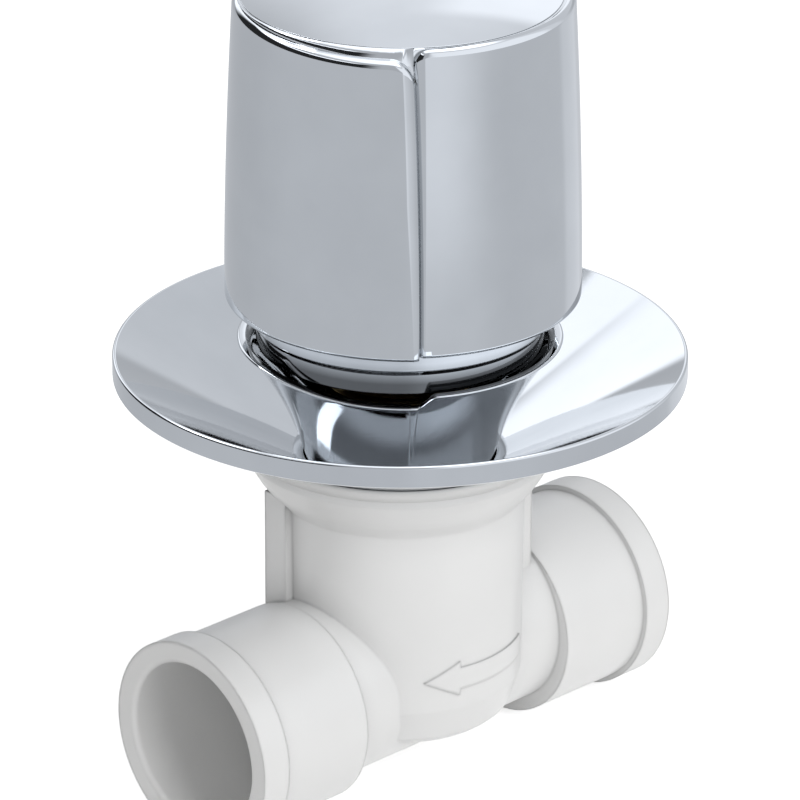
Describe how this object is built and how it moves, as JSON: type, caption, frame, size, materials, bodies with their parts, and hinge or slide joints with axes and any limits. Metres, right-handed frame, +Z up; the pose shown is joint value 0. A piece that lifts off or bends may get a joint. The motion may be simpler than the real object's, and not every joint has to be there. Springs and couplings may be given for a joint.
{
  "type": "concealed stop valve",
  "caption": "Concealed pressure valve for solvent-weld pipe: white body with in-line sockets, chromed dished escutcheon, trumpet collar and tall round turning handle.",
  "frame": {"origin": "under the spindle axis, level with the lowest point of the sockets, which is the bottom centre of the bounding box", "axes": "+Z up along the spindle towards the handle, +X along the pipe towards the inlet, outlet at -X; in a wall, +Z points out of the wall"},
  "size_m": [0.0846, 0.0846, 0.1242],
  "materials": {
    "body_pvc": "white moulded pvc, semi-gloss",
    "chrome": "polished chrome plate",
    "brass": "turned brass",
    "rubber": "black rubber",
    "packing": "soft white packing",
    "core_plastic": "matt white moulded plastic",
    "screw_steel": "stainless steel"
  },
  "bodies": {
    "root": {"valve_body": "body_pvc", "seat_ring": "brass", "body_seal": "rubber", "bonnet": "brass", "gland_packing": "packing", "gland_washer": "brass", "gland_nut": "brass", "escutcheon_plate": "chrome", "hub_ring": "rubber", "escutcheon_collar": "chrome", "collar_insert": "core_plastic"},
    "jumper": {"disc_holder": "brass", "seat_washer": "rubber", "washer_nut": "brass"},
    "handle": {"spindle": "brass", "spindle_ring": "rubber", "spline_adaptor": "core_plastic", "handle_core": "core_plastic", "handle_screw": "screw_steel", "handle_shell": "chrome", "skirt_sleeve": "chrome", "top_cap": "chrome"}
  },
  "joints": [
    {"name": "spindle_lift", "type": "slide", "parent": "root", "child": "jumper", "axis": [0, 0, 1], "range_m": [0, 0.0045]},
    {"name": "handle_turn", "type": "hinge", "parent": "jumper", "child": "handle", "pos_m": [0, 0, 0.05], "axis": [0, 0, 1], "range_deg": [0, 810]}
  ],
  "couplings": [
    {"joint": "spindle_lift", "follows": "handle_turn", "m_per_rad": 0.000318}
  ]
}
